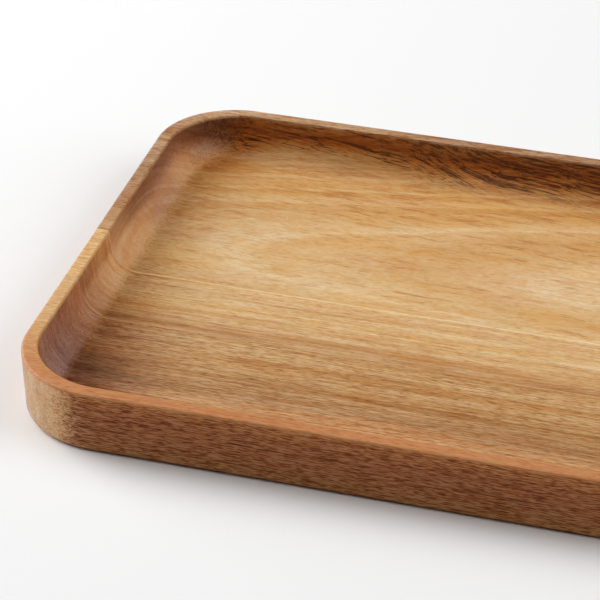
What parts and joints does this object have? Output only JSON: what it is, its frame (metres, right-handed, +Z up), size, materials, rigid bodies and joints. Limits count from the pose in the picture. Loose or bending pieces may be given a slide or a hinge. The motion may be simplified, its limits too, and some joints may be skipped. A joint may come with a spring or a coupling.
{
  "type": "serving tray",
  "caption": "Shallow rectangular serving tray of solid wood boards glued edge to edge, with rounded corners, a thin raised rim and a coved well.",
  "frame": {"origin": "centre of the footprint, on the surface that the tray stands on", "axes": "+X along the tray's length and the grain of its boards, +Y from the front edge to the rear edge, +Z up out of the well"},
  "size_m": [0.3, 0.2, 0.022],
  "materials": {
    "rear_board_wood": "flat-sawn acacia, honey tan with dark heartwood streaks, satin oil",
    "middle_board_wood": "straight-grained acacia, pale honey, satin oil",
    "front_board_wood": "straight-grained acacia, brown to reddish brown, satin oil",
    "wood_glue": "set wood glue, pale straw, sanded flush"
  },
  "bodies": {
    "root": {"rear_board": "rear_board_wood", "middle_board": "middle_board_wood", "front_board": "front_board_wood", "rear_glue_line": "wood_glue", "front_glue_line": "wood_glue"}
  },
  "joints": []
}
